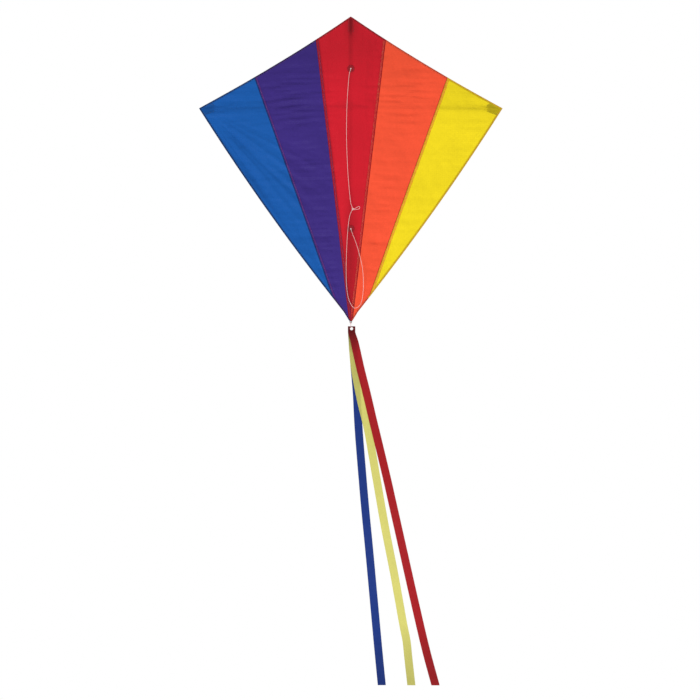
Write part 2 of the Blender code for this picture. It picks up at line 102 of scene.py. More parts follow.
# ---------------- camera and studio
camera = bpy.data.objects.new("camera", bpy.data.cameras.new("camera"))
bpy.context.scene.collection.objects.link(camera)
camera.data.lens = 100.0
camera.data.sensor_width = 36.0
camera.location = (-0.002, -4.833 + SAIL_Y, -0.607)
camera.rotation_euler = (math.pi / 2.0, 0.0, 0.0)
bpy.context.scene.camera = camera
bpy.context.scene.view_settings.view_transform = "Standard"

world = bpy.data.worlds.new("studio")
bpy.context.scene.world = world
world.use_nodes = True
sky = world.node_tree
upward = sky.nodes.new("ShaderNodeSeparateXYZ")
ramp = sky.nodes.new("ShaderNodeValToRGB")
sky.links.new(sky.nodes.new("ShaderNodeTexCoord").outputs["Generated"], upward.inputs[0])
lift = sky.nodes.new("ShaderNodeMapRange")
lift.inputs["From Min"].default_value = -1.0
sky.links.new(upward.outputs["Z"], lift.inputs["Value"])
sky.links.new(lift.outputs["Result"], ramp.inputs["Fac"])
stops = ramp.color_ramp.elements
stops[0].position, stops[1].position = 0.20, 0.80
for stop, level in ((stops[0], 0.42), (stops[1], 0.16), (stops.new(0.36), 1.0), (stops.new(0.62), 1.0)):
    stop.color = (level, level, level, 1.0)
sky.links.new(ramp.outputs["Color"], sky.nodes["Background"].inputs["Color"])
sky.nodes["Background"].inputs["Strength"].default_value = 1.0


def area_light(name, place, target, size, watts):
    lamp = bpy.data.lights.new(name, "AREA")
    lamp.shape = "DISK"
    lamp.size = size
    lamp.energy = watts
    obj = bpy.data.objects.new(name, lamp)
    bpy.context.scene.collection.objects.link(obj)
    obj.location = place
    obj.rotation_euler = (Vector(target) - Vector(place)).to_track_quat("-Z", "Y").to_euler()


area_light("key", (-1.2, -1.9, -2.5), (0.0, 0.0, -0.3), 0.5, 58.0)
area_light("back", (1.6, 2.4, 1.5), (0.0, 0.0, -0.3), 1.0, 36.0)


# ---------------- material tools
class Tree:
    """Short calls for building one material's nodes."""

    def __init__(self, name):
        self.material = bpy.data.materials.new(name)
        self.material.use_nodes = True
        self.nodes = self.material.node_tree.nodes
        self.links = self.material.node_tree.links
        self.shader = self.nodes["Principled BSDF"]
        self.out = self.nodes["Material Output"]

    def add(self, kind, *inputs, **settings):
        node = self.nodes.new(kind)
        for key, value in settings.items():
            setattr(node, key, value)
        for i, value in enumerate(inputs):
            if value is not None:
                self.put(node.inputs[i], value)
        return node.outputs[0]

    def put(self, socket, value):
        if isinstance(value, bpy.types.NodeSocket):
            self.links.new(value, socket)
        else:
            socket.default_value = value

    def math(self, operation, a, b=0.0, c=0.0):
        return self.add("ShaderNodeMath", a, b, c, operation=operation)

    def uv(self):
        coords = self.nodes.new("ShaderNodeTexCoord")
        return coords.outputs["UV"]

    def place(self):
        coords = self.nodes.new("ShaderNodeTexCoord")
        return coords.outputs["Object"]

    def noise(self, coords, scale, detail=3.0, rough=0.5):
        node = self.nodes.new("ShaderNodeTexNoise")
        self.put(node.inputs["Vector"], coords)
        node.inputs["Scale"].default_value = scale
        node.inputs["Detail"].default_value = detail
        node.inputs["Roughness"].default_value = rough
        return node.outputs["Fac"]

    def spread(self, value, low, high, out_low=0.0, out_high=1.0):
        return self.add("ShaderNodeMapRange", value, low, high, out_low, out_high)

    def mix(self, factor, a, b):
        """Colour between a and b. The node's colours are its inputs 6 and 7 and its output 2."""
        node = self.nodes.new("ShaderNodeMix")
        node.data_type = "RGBA"
        self.put(node.inputs["Factor"], factor)
        for socket, value in ((node.inputs[6], a), (node.inputs[7], b)):
            self.put(socket, (*value, 1.0) if isinstance(value, tuple) else value)
        return node.outputs[2]

    def bump(self, height, strength, distance):
        node = self.nodes.new("ShaderNodeBump")
        node.inputs["Strength"].default_value = strength
        node.inputs["Distance"].default_value = distance
        self.put(node.inputs["Height"], height)
        return node.outputs["Normal"]


def scaled(color, by):
    return tuple(min(1.0, c * by) for c in color)


def cloth(name, color, glow=0.20, rip=0.005, sheen=0.04, contrast=1.0, fine=0.00042, dark=None, behind=()):
    """Ripstop cloth, its UV in metres: a grid of thicker threads over a plain weave, see-through to light.

    dark is a pair of V heights between which the cloth turns darker, darkest at the higher V.
    behind lists soft dark bands of painted shade, such as painted shadows of parts behind the cloth: (x,
    slope, half, soft, z_from, z_full, share).
    """
    t = Tree(name)
    split = t.add("ShaderNodeSeparateXYZ", t.uv())
    u, v = split.node.outputs[0], split.node.outputs[1]
    lines = []
    for axis in (u, v):
        saw = t.math("PINGPONG", axis, rip / 2.0)
        lines.append(t.spread(saw, 0.0, 0.00042, 1.0, 0.0))
    grid = t.math("MAXIMUM", lines[0], lines[1])
    warp = t.math("SINE", t.math("MULTIPLY", u, 2.0 * math.pi / fine))
    weft = t.math("SINE", t.math("MULTIPLY", v, 2.0 * math.pi / fine))
    weave = t.math("MULTIPLY", warp, weft)
    crease = t.noise(t.uv(), 46.0, 4.0, 0.62)
    patchy = t.noise(t.uv(), 9.0, 2.0, 0.5)
    wear = t.noise(t.uv(), 420.0, 2.0, 0.6)
    shade = t.mix(t.math("MULTIPLY", grid, 0.20 * contrast), color, scaled(color, 0.62))
    shade = t.mix(t.spread(patchy, 0.3, 0.7, 0.0, 0.5 * contrast), shade, scaled(color, 0.84))
    shade = t.mix(t.spread(wear, 0.45, 0.8, 0.0, 0.35 * contrast), shade, scaled(color, 1.22))
    # Painted shade: each band mixes the cloth's colour towards a dark copy of it.
    for x, slope, half, soft, z_from, z_full, share in behind:
        line = t.math("MULTIPLY_ADD", t.math("SUBTRACT", v, UV_Z0), slope, UV_X0 + x)
        off = t.math("ABSOLUTE", t.math("SUBTRACT", u, line))
        within = t.add("ShaderNodeMapRange", off, half, half + soft, 1.0, 0.0,
                       interpolation_type="SMOOTHSTEP")
        painted_shade_mask = t.math("MULTIPLY", within, t.spread(v, UV_Z0 + z_from, UV_Z0 + z_full, 0.0, share))
        shade = t.mix(painted_shade_mask, shade, scaled(color, 0.16))
    if dark:
        shade = t.mix(t.spread(v, *dark, 0.0, 0.72), shade, scaled(color, 0.10))
    height = t.math("ADD", t.math("MULTIPLY", grid, 0.55), t.math("MULTIPLY", weave, 0.22))
    height = t.math("ADD", height, t.math("MULTIPLY", crease, 2.4))
    normal = t.bump(height, 0.75, 0.00035)
    t.put(t.shader.inputs["Base Color"], shade)
    rubbed = t.math("ADD", crease, t.math("MULTIPLY", grid, 0.2))
    t.put(t.shader.inputs["Roughness"], t.spread(rubbed, 0.3, 0.9, 0.44, 0.62))
    t.put(t.shader.inputs["Normal"], normal)
    t.shader.inputs["Sheen Weight"].default_value = sheen
    t.shader.inputs["Sheen Roughness"].default_value = 0.4
    t.shader.inputs["Specular IOR Level"].default_value = 0.12
    back = t.nodes.new("ShaderNodeBsdfTranslucent")
    t.put(back.inputs["Color"], shade)
    t.put(back.inputs["Normal"], normal)
    both = t.add("ShaderNodeMixShader", glow, t.shader.outputs[0], back.outputs[0])
    t.links.new(both, t.out.inputs["Surface"])
    return t.material


def cord_stuff(name, color):
    """Braided line: pale filaments with darker grooves, slightly soiled."""
    t = Tree(name)
    soil = t.noise(t.place(), 130.0, 3.0)
    hair = t.noise(t.place(), 2600.0, 2.0, 0.7)
    shade = t.mix(t.spread(soil, 0.35, 0.75, 0.0, 0.5), color, scaled(color, 0.70))
    shade = t.mix(t.spread(hair, 0.4, 0.75, 0.0, 0.35), shade, scaled(color, 0.55))
    t.put(t.shader.inputs["Base Color"], shade)
    t.put(t.shader.inputs["Roughness"], t.spread(hair, 0.2, 0.8, 0.62, 0.86))
    t.put(t.shader.inputs["Normal"], t.bump(hair, 0.5, 0.00008))
    t.shader.inputs["Sheen Weight"].default_value = 0.3
    return t.material


def rod_stuff(name, stretch):
    """Pultruded fibreglass: dark resin with fine streaks along the rod."""
    t = Tree(name)
    mapping = t.nodes.new("ShaderNodeMapping")
    t.put(mapping.inputs["Vector"], t.place())
    mapping.inputs["Scale"].default_value = stretch
    streak = t.noise(mapping.outputs[0], 1.0, 4.0, 0.65)
    scuff = t.noise(t.place(), 60.0, 3.0, 0.6)
    shade = t.mix(t.spread(streak, 0.35, 0.7), (0.012, 0.012, 0.014), (0.050, 0.050, 0.055))
    shade = t.mix(t.spread(scuff, 0.62, 0.8, 0.0, 0.25), shade, (0.16, 0.16, 0.16))
    t.put(t.shader.inputs["Base Color"], shade)
    t.put(t.shader.inputs["Roughness"], t.spread(streak, 0.3, 0.7, 0.26, 0.46))
    t.put(t.shader.inputs["Normal"], t.bump(streak, 0.35, 0.00006))
    t.shader.inputs["Coat Weight"].default_value = 0.15
    return t.material


def moulded(name, color, grain, low, high):
    """Moulded plastic or vinyl with a fine grain and faint scuffs."""
    t = Tree(name)
    fine = t.noise(t.place(), grain, 3.0, 0.6)
    scuff = t.noise(t.place(), 240.0, 4.0, 0.7)
    shade = t.mix(t.spread(fine, 0.3, 0.7, 0.0, 0.6), color, scaled(color, 1.9))
    shade = t.mix(t.spread(scuff, 0.6, 0.8, 0.0, 0.22), shade, (0.12, 0.12, 0.12))
    t.put(t.shader.inputs["Base Color"], shade)
    t.put(t.shader.inputs["Roughness"], t.spread(scuff, 0.3, 0.75, low, high))
    t.put(t.shader.inputs["Normal"], t.bump(fine, 0.4, 0.00010))
    return t.material


def thread_stuff(name, color):
    """Sewing thread: a soft sheen and small changes of shade from stitch to stitch."""
    t = Tree(name)
    change = t.noise(t.place(), 900.0, 2.0)
    shade = t.mix(t.spread(change, 0.3, 0.7), scaled(color, 0.7), scaled(color, 1.25))
    t.put(t.shader.inputs["Base Color"], shade)
    t.put(t.shader.inputs["Roughness"], t.spread(change, 0.3, 0.7, 0.40, 0.65))
    t.shader.inputs["Sheen Weight"].default_value = 0.4
    return t.material


# Painted shadows on the red cloth: the spine rod, the nose and tail pockets, and the purple lap behind its
# left edge.
SPINE_PAINTED_SHADOWS = [(0.0, 0.0, 0.0010, 0.0050, 0.168, 0.190, 0.55),
                (0.0, 0.0, 0.0060, 0.0180, 0.150, 0.196, 0.22),
                (0.0, 0.0, 0.0012, 0.0080, 0.050, 0.130, 0.16),
                (0.0, 0.0, 0.0060, 0.0180, -0.200, -0.340, 0.32),
                (0.0, 0.0, 0.0010, 0.0070, 0.050, -0.050, 0.08)]
LAP_PAINTED_SHADOW = [(-0.0645, -INNER_SLOPE, 0.0030, 0.0060, 0.200, 0.190, 0.26)]


def painted_top_shade(share, z_from=0.03, z_full=0.14):
    """Band over a panel's whole width: painted shade, the cloth darker towards the nose."""
    return (0.0, 0.0, 0.4, 0.1, z_from, z_full, share)


CLOTH = {
    "blue": cloth("blue_ripstop", BLUE, glow=0.28),
    "purple": cloth("purple_ripstop", PURPLE, glow=0.17, behind=[painted_top_shade(0.15)]),
    "red": cloth("red_ripstop", RED, glow=0.19, behind=SPINE_PAINTED_SHADOWS + LAP_PAINTED_SHADOW + [painted_top_shade(0.19)]),
    "orange": cloth("orange_ripstop", ORANGE, glow=0.23, behind=[painted_top_shade(0.13)]),
    "yellow": cloth("yellow_ripstop", YELLOW, glow=0.46, behind=[painted_top_shade(0.14, 0.0, 0.07)]),
    "black": cloth("pocket_cloth", BLACK, glow=0.05, rip=0.0016, contrast=1.6),
    "patch": cloth("patch_cloth", (0.26, 0.006, 0.012), glow=0.06, rip=0.0014, contrast=1.3),
}
# Painted shade: hem cloth in darker copies of the panel colours, for the layered hem and, on the seams'
# rolled ridge, for the seam groove.
HEMS_PAINTED_SHADE = {
    "blue": cloth("blue_hem_painted_shade", scaled(BLUE, 0.34), glow=0.10),
    "purple": cloth("purple_hem_painted_shade", scaled(PURPLE, 0.38), glow=0.10),
    "red": cloth("red_hem_painted_shade", scaled(RED, 0.44), glow=0.10),
    "orange": cloth("orange_hem_painted_shade", scaled(ORANGE, 0.55), glow=0.10),
    "yellow": cloth("yellow_hem_painted_shade", (0.56, 0.34, 0.014), glow=0.15),
}
# Fell strips on the seams: the maroon and dark red are painted shade of the seam groove; the magenta and
# amber are painted light, the tint of light coming through the lapped cloth.
FELLS_PAINTED_LIGHT_AND_SHADE = {
    "inner_left": cloth("fell_maroon_painted_shade", (0.20, 0.007, 0.030), glow=0.08),
    "outer_left": cloth("fell_magenta_painted_light", (0.105, 0.014, 0.150), glow=0.08),
    "inner_right": cloth("fell_dark_red_painted_shade", (0.43, 0.009, 0.017), glow=0.10),
    "outer_right": cloth("fell_amber_painted_light", (0.80, 0.36, 0.020), glow=0.12),
}
# V heights over which the streamers' cloth turns darker towards the header.
DARK_HEADER_V = (1.385, 1.440)
# Painted shade: the streamers' cloth darker towards their cut ends.
RIBBON_END_PAINTED_SHADE = [(0.0, 0.0, 0.02, 0.01, 0.0, -0.14, 0.34)]
RIBBON = {
    tone: cloth(f"streamer_{tone}_cloth", color, glow=glow, rip=0.0030, dark=DARK_HEADER_V, behind=RIBBON_END_PAINTED_SHADE)
    for tone, color, glow in (("red", (0.29, 0.0068, 0.0105), 0.22), ("yellow", (0.53, 0.50, 0.133), 0.30),
                              ("blue", (0.0075, 0.027, 0.165), 0.24))}
THREAD = {name: thread_stuff("thread_" + name, tone) for name, tone in {
    "blue": scaled(BLUE, 0.55), "purple": (0.20, 0.03, 0.16), "red": scaled(RED, 0.5),
    "orange": (0.95, 0.30, 0.10), "yellow": scaled(YELLOW, 0.72), "black": (0.03, 0.03, 0.03)}.items()}
LINE_STUFF = cord_stuff("bridle_line", (0.74, 0.54, 0.52))
LOOP_STUFF = cord_stuff("tail_string", (0.50, 0.24, 0.24))
VINYL = moulded("soft_vinyl", (0.008, 0.008, 0.009), 1500.0, 0.42, 0.60)
PLASTIC = moulded("moulded_plastic", (0.012, 0.012, 0.013), 2200.0, 0.46, 0.66)

for node, stuff in {
        "spine_rod": rod_stuff("spine_fibreglass", (1400.0, 1400.0, 12.0)),
        "cross_spar_left": rod_stuff("spar_fibreglass_left", (12.0, 1400.0, 1400.0)),
        "cross_spar_right": rod_stuff("spar_fibreglass_right", (12.0, 1400.0, 1400.0)),
        "spine_nose_cap": VINYL, "spar_cap_left": VINYL, "spar_cap_right": VINYL,
        "spar_sleeve_left": VINYL, "spar_sleeve_right": VINYL,
        "spine_tail_cap": PLASTIC, "centre_fitting": PLASTIC}.items():
    data = frame["nodes"][node].data
    data.materials.clear()
    data.materials.append(stuff)


# ---------------- mesh tools
def build(name, points, faces, uvs, stuff, smooth=True):
    """Mesh object from points, faces and one UV for each point."""
    mesh = bpy.data.meshes.new(name)
    mesh.from_pydata([tuple(p) for p in points], [], faces)
    layer = mesh.uv_layers.new(name="UVMap")
    corners = np.empty(len(mesh.loops), np.int32)
    mesh.loops.foreach_get("vertex_index", corners)
    layer.data.foreach_set("uv", np.asarray(uvs, np.float32)[corners].ravel())
    mesh.materials.append(stuff)
    mesh.polygons.foreach_set("use_smooth", [smooth] * len(mesh.polygons))
    obj = bpy.data.objects.new(name, mesh)
    bpy.context.scene.collection.objects.link(obj)
    return obj


def lattice(rows, columns, closed=False):
    """Faces of a grid of points, row after row. closed joins the last column to the first."""
    faces = []
    for r in range(rows - 1):
        for c in range(columns if closed else columns - 1):
            d = (c + 1) % columns
            faces.append((r * columns + c, r * columns + d, (r + 1) * columns + d, (r + 1) * columns + c))
    return faces


def smooth_route(points, count):
    """Evenly spaced points on a Catmull-Rom curve through the given points."""
    pts = [Vector(p) for p in points]
    ends = [pts[0] * 2.0 - pts[1]] + pts + [pts[-1] * 2.0 - pts[-2]]
    dense = []
    for i in range(1, len(ends) - 2):
        a, b, c, d = ends[i - 1:i + 3]
        for k in range(24):
            t = k / 24.0
            dense.append(0.5 * (2.0 * b + (c - a) * t + (2.0 * a - 5.0 * b + 4.0 * c - d) * t * t
                                + (3.0 * b - 3.0 * c + d - a) * t * t * t))
    dense.append(pts[-1])
    length = [0.0]
    for a, b in zip(dense, dense[1:]):
        length.append(length[-1] + (b - a).length)
    result = []
    at = 0
    for i in range(count):
        want = length[-1] * i / (count - 1)
        while at < len(dense) - 2 and length[at + 1] < want:
            at += 1
        span = max(length[at + 1] - length[at], 1e-9)
        result.append(dense[at].lerp(dense[at + 1], (want - length[at]) / span))
    return result


def line_length(points):
    return sum((b - a).length for a, b in zip(points, points[1:]))


def rope(name, points, radius, stuff, step=0.0005, lay=0.0052, sides=15, strands=3):
    """Laid line: a tube whose strands wind round it, with rounded ends; also returns its centreline."""
    rough = smooth_route(points, 60)
    count = max(12, int(line_length(rough) / step))
    route = smooth_route(points, count)
    verts = []
    uvs = []
    normal = None
    run = 0.0
    for i, point in enumerate(route):
        along = (route[min(i + 1, count - 1)] - route[max(i - 1, 0)]).normalized()
        if normal is None:
            normal = along.orthogonal().normalized()
        normal = (normal - along * normal.dot(along)).normalized()
        other = along.cross(normal)
        if i:
            run += (point - route[i - 1]).length
        end = min(i, count - 1 - i)
        taper = (0.55, 0.85)[end] if end < 2 else 1.0
        for k in range(sides):
            a = 2.0 * math.pi * k / sides
            lobe = abs(math.cos(strands * (a - 2.0 * math.pi * run / lay) / 2.0))
            r = radius * taper * (0.80 + 0.20 * lobe)
            verts.append(point + normal * (r * math.cos(a)) + other * (r * math.sin(a)))
            uvs.append((k / sides, run))
    faces = lattice(count, sides, closed=True)
    faces.append(tuple(range(sides - 1, -1, -1)))
    faces.append(tuple(range((count - 1) * sides, count * sides)))
    return build(name, verts, faces, uvs, stuff), route


# ---------------- bridle and tail loop
EYES = {tag: sum(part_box("bridle_patch_" + tag), Vector()) / 2.0 for tag in ("upper", "lower")}
TOW = sum(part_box("tow_knot"), Vector()) / 2.0
front_y = CENTRE_LOW.y - 0.0026
up = EYES["upper"].z
low = EYES["lower"].z


def before_sail(points):
    """Route points from (x, distance before the sail, z)."""
    return [(x, front_y - gap, z) for x, gap, z in points]


def round_tow(points):
    """Route points from their distances from the tow knot."""
    return [(TOW.x + x, TOW.y + y, TOW.z + z) for x, y, z in points]


UPPER_LEG = before_sail([(0.0, 0.0006, up - 0.0012), (-0.0045, 0.0012, 0.072), (-0.0095, 0.0012, 0.000),
                         (-0.0105, 0.0012, -0.085), (-0.0070, 0.0014, -0.170), (-0.0010, 0.0026, -0.235)])
UPPER_LEG += round_tow([(-0.0014, 0.0, 0.0034), (-0.0002, 0.0, 0.0004)])
LOWER_LEG = round_tow([(-0.0004, 0.0, -0.0006), (-0.0022, 0.0, -0.0034)])
LOWER_LEG += before_sail([(-0.0040, 0.0018, -0.280), (-0.0095, 0.0010, -0.340), (-0.0115, 0.0010, -0.420),
                          (-0.0070, 0.0010, -0.474), (0.0075, 0.0010, -0.502), (0.0245, 0.0010, -0.492),
                          (0.0310, 0.0010, -0.455), (0.0290, 0.0010, -0.405), (0.0165, 0.0010, -0.352),
                          (0.0040, 0.0008, -0.318), (0.0008, 0.0004, low - 0.0016)])
TOW_LOOP = round_tow([(0.0006, 0.0, 0.0002), (0.0034, 0.0, 0.0006), (0.0085, -0.001, 0.0030),
                      (0.0140, -0.001, 0.0062), (0.0172, 0.0, 0.0044), (0.0150, 0.001, 0.0004),
                      (0.0088, 0.001, -0.0008), (0.0036, 0.001, -0.0016), (0.0006, 0.0006, -0.0006)])


def knot(name, centre, size, radius, stuff, turn=Matrix.Identity(4), flat=0.75):
    """Overhand knot pulled tight: the trefoil line of the cord itself."""
    points = []
    for i in range(31):
        a = 2.0 * math.pi * i / 31 * 0.985
        local = Vector((math.sin(a) + 2.0 * math.sin(2.0 * a), math.cos(a) - 2.0 * math.cos(2.0 * a),
                        -math.sin(3.0 * a) * flat)) * (size / 3.0)
        points.append(centre + turn @ local)
    return rope(name, points, radius, stuff, step=0.00035)[0]


upper_line, upper_path = rope("bridle_upper_leg", UPPER_LEG, LINE_R, LINE_STUFF)
lower_line, lower_path = rope("bridle_lower_leg", LOWER_LEG, LINE_R, LINE_STUFF)
tow_tag = rope("tow_loop_line", TOW_LOOP, LINE_R, LINE_STUFF)[0]
upright = Matrix.Rotation(math.pi / 2.0, 4, "X")
tow_knot = knot("tow_knot_turns", TOW, 0.0024, LINE_R, LINE_STUFF, upright)
for piece, node in ((upper_line, "bridle_line_upper"), (lower_line, "bridle_line_lower"),
                    (tow_tag, "tow_loop"), (tow_knot, "tow_knot")):
    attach(piece, "frame")
    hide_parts(node)
knots = {}
for tag in ("upper", "lower"):
    centre = sum(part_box("bridle_knot_" + tag), Vector()) / 2.0
    knots[tag] = knot("bridle_stopper_knot_" + tag, centre, 0.0016, LINE_R, LINE_STUFF, upright, 0.5)
    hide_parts("bridle_knot_" + tag)
    reach = SPINE_R + LINE_R * 0.95
    coil = [(0.0003, CENTRE_HIGH.y - 0.0002, EYES[tag].z + 0.0002)]
    for i in range(49):
        a = -1.2 + (4.0 * math.pi - 0.8) * i / 48
        coil.append((reach * math.cos(a), SPINE_Y + reach * math.sin(a),
                     EYES[tag].z + 0.0011 * (1.0 - i / 24.0)))
    coil.append((-0.0003, CENTRE_HIGH.y - 0.0002, EYES[tag].z - 0.0002))
    hitch = rope("bridle_hitch_turns_" + tag, coil, LINE_R, LINE_STUFF)[0]
    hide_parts("bridle_hitch_" + tag)
    for piece in (knots[tag], hitch):
        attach(piece, "frame")

LOOP_LOW, LOOP_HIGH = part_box("tail_loop")
loop_mid = (LOOP_LOW.z + LOOP_HIGH.z) / 2.0
loop_reach = (LOOP_HIGH.z - LOOP_LOW.z) / 2.0 - LOOP_R
loop_depth = (LOOP_HIGH.y - LOOP_LOW.y) / 2.0 - LOOP_R
ring = []
for i in range(46):
    a = 2.0 * math.pi * (1.0 + i / 45.0) - math.acos(TIE_SHARE)
    depth = max(-1.0, min(1.0, 1.25 * math.sin(a)))
    ring.append((0.0, SPINE_Y + loop_depth * depth, loop_mid + loop_reach * math.cos(a)))
tail_string, tail_path = rope("tail_loop_string", ring, LOOP_R, LOOP_STUFF)
tie_place = Vector((0.0, LOOP_LOW.y + LOOP_R, loop_mid + loop_reach * TIE_SHARE))
tail_tie = knot("tail_loop_knot", tie_place, 0.0013, LOOP_R, LOOP_STUFF, upright, 0.5)
for piece in (tail_string, tail_tie):
    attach(piece, "tail_loop")
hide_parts("tail_loop")


# ---------------- the sail's surface
def half_width(z):
    if z >= 0.0:
        t = (NOSE_Z - z) / NOSE_Z
        return max(HALF_SPAN * t - LEAD_HOLLOW * t * (1.0 - t), 0.0)
    if z >= KINK_Z:
        t = z / KINK_Z
        return HALF_SPAN + (KINK_X - HALF_SPAN) * t + TRAIL_BELLY * t * (1.0 - t)
    t = (z - KINK_Z) / (TAIL_Z - KINK_Z)
    return KINK_X + (TIP_HALF - KINK_X) * t


def inner_seam(z):
    return INNER_SEAM_X + INNER_SLOPE * z


def outer_seam(z):
    return OUTER_SEAM_X + OUTER_SLOPE * z


def crossing(seam, low, high):
    """Height where a seam meets the sail's edge."""
    inside = seam(low) < half_width(low)
    for _ in range(40):
        mid = (low + high) / 2.0
        if (seam(mid) < half_width(mid)) == inside:
            low = mid
        else:
            high = mid
    return (low + high) / 2.0


INNER_TOP = crossing(inner_seam, 0.10, 0.21)
OUTER_TOP = crossing(outer_seam, 0.02, 0.15)
OUTER_LOW = crossing(outer_seam, -0.30, -0.50)


def ease(t):
    t = max(0.0, min(1.0, t))
    return t * t * (3.0 - 2.0 * t)


def wrinkle(across, along, seed, pitch, length):
    """Soft ridges that run along one direction and come and go, about -1 to 1."""
    wander = noise.noise(Vector((along / length * 0.7, across / pitch * 0.12, seed)))
    ridge = noise.noise(Vector((along / length, across / pitch + 1.3 * wander, seed + 7.0)))
    fine = noise.noise(Vector((along / length * 1.7, across / pitch * 2.3, seed + 19.0)))
    return ridge + 0.45 * fine


def relief(side, x, z):
    """How far the slack cloth stands behind the flat sail, in metres."""
    width = max(half_width(z), 0.004)
    out = abs(x)
    across = min(out / width, 1.0)
    free = ease((out - 0.010) / 0.05)
    below = ease((-z - 0.02) / 0.14)
    above = ease((z - 0.02) / 0.07)
    belly = 0.0050 * below * math.sin(math.pi * across) * math.sin(math.pi * ease(z / TAIL_Z)) ** 0.7
    crown = 0.0018 * above * math.sin(math.pi * across)
    seed = 3.0 if side > 0 else 11.0
    # pulled cloth between the wing tip and the spine: long level ridges, closest near the spar
    tight = math.exp(-((z - 0.018) / 0.075) ** 2) + 0.55 * ease((-z - 0.05) / 0.1)
    middle = math.exp(-((out - (inner_seam(z) + outer_seam(z)) / 2.0) / max(0.045 + 0.12 * z, 0.02)) ** 2)
    tight *= 0.50 + 0.95 * middle + 0.5 * ease((out - 0.27) / 0.06)
    ridges = wrinkle(z + 0.035 * (out - 0.2), out, seed, 0.017, 0.15)
    level = (0.0052 if side < 0 else 0.0042) * tight * ridges
    level -= 0.0010 * tight * math.exp(-(ridges / 0.07) ** 2)
    # folds that fan out of the wing tip down the trailing edge
    inward = 0.372 - out
    reach = math.hypot(inward, z)
    angle = math.atan2(-z, max(inward, 1e-5))
    fan = math.exp(-((angle - 0.80) / 0.36) ** 2)
    fan *= ease((reach - 0.02) / 0.10) * (1.0 - ease((reach - 0.22) / 0.24))
    folds = (0.0082 if side < 0 else 0.0030) * fan * wrinkle(angle * 0.20, reach, seed + 31.0, 0.022, 0.30)
    # gathers that run up out of the narrow tail
    foot = 0.0018 * ease((-0.22 - z) / 0.2)
    foot *= wrinkle(out / max(width, 0.02) * 0.12, z, seed + 53.0, 0.024, 0.30)
    # pinches where the seams draw the cloth together
    pinch = 0.0
    for seam in (inner_seam, outer_seam):
        gap = out - seam(z)
        pinch += 0.0010 * math.exp(-(gap / 0.016) ** 2) * wrinkle(z, gap, seed + 71.0, 0.011, 0.05)
    upright_folds = 0.0016 * ease((inner_seam(z) + 0.012 - out) / 0.02) * ease((z + 0.30) / 0.1)
    upright_folds *= wrinkle(out, z, seed + 91.0, 0.012, 0.22)
    crinkle = noise.fractal(Vector((x * 26.0, side * 5.0, z * 26.0)), 0.8, 2.1, 4) * 0.0014
    edge = ease((1.0 - across) * width / 0.02) * 0.8 + 0.2
    slack = belly + crown + level + folds + foot + crinkle + pinch + upright_folds
    return free * edge * slack + crinkle * 0.1


def sail(side, x, z, depth=0.0):
    """Point of the sail at drawn place x, z; depth is how far behind the cloth it lies."""
    bend = 0.0030
    s = abs(x) - FOLD_X
    slide = bend * math.log1p(math.exp(s / bend)) if s < 30.0 * bend else s
    turn = DIHEDRAL / (1.0 + math.exp(-max(min(s / bend, 40.0), -40.0)))
    out = depth + relief(side, x, z)
    y = SAIL_Y + math.tan(DIHEDRAL) * slide + math.cos(turn) * out
    return Vector((x - side * math.sin(turn) * out, y, z))


def uv_of(x, z):
    return (UV_X0 + x, UV_Z0 + z)


WING = {-1: "left_wing", 1: "right_wing"}
SIDE_NAME = {-1: "left", 1: "right"}


def bend_with_wing(piece):
    """Bakes the piece's placement into its mesh."""
    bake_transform(piece)


def panel(name, side, inside, outside, z_low, z_high, columns, stuff):
    """Cloth between two lines, as a grid of rows from z_low to z_high."""
    rows = int((z_high - z_low) / GRID) + 2
    verts = []
    uvs = []
    area = 0.0
    for r in range(rows):
        z = z_low + (z_high - z_low) * r / (rows - 1)
        a, b = inside(z), outside(z)
        b = max(b, a + 0.00002)
        share = 0.5 if r in (0, rows - 1) else 1.0
        area += share * (b - a) / math.cos(DIHEDRAL) * (z_high - z_low) / (rows - 1)
        for c in range(columns):
            x = side * (a + (b - a) * c / (columns - 1))
            verts.append(sail(side, x, z))
            uvs.append(uv_of(x, z))
    faces = lattice(rows, columns)
    if side < 0:
        faces = [f[::-1] for f in faces]
    return build(name, verts, faces, uvs, stuff), area


def strip(name, side, line, offsets, stuff, spill=-0.0003):
    """Cloth strip along a line of (x, z, inward x, inward z); offsets are (inward, depth) across it."""
    verts = []
    uvs = []
    for x, z, nx, nz in line:
        for inward, depth in offsets:
            px, pz = x + nx * inward, z + nz * inward
            pz = min(max(pz, TAIL_Z + 0.0003), NOSE_Z - 0.0006)
            px = min(max(px, 0.0), half_width(pz) + spill)
            verts.append(sail(side, side * px, pz, depth))
            uvs.append(uv_of(side * px, pz))
    faces = lattice(len(line), len(offsets))
    if side > 0:
        faces = [f[::-1] for f in faces]
    return build(name, verts, faces, uvs, stuff)


def with_normals(points):
    """(x, z) points with the unit normal that points into the cloth."""
    result = []
    for i, (x, z) in enumerate(points):
        a = points[max(i - 1, 0)]
        b = points[min(i + 1, len(points) - 1)]
        tx, tz = b[0] - a[0], b[1] - a[1]
        size = math.hypot(tx, tz) or 1.0
        result.append((x, z, tz / size, -tx / size))
    return result


def edge_line(z_from, z_to):
    """Points on the sail's edge going down from z_from to z_to."""
    span = math.dist((half_width(z_from), z_from), (half_width(z_to), z_to))
    count = max(4, int(span / GRID))
    points = []
    for i in range(count + 1):
        z = z_from + (z_to - z_from) * i / count
        points.append((half_width(z), z))
    return with_normals(points)


def seam_line(seam, z_from, z_to):
    """Points on a seam going down from z_from to z_to."""
    count = int(abs(z_to - z_from) / GRID)
    heights = [z_from + (z_to - z_from) * i / count for i in range(count + 1)]
    return with_normals([(seam(z), z) for z in heights])


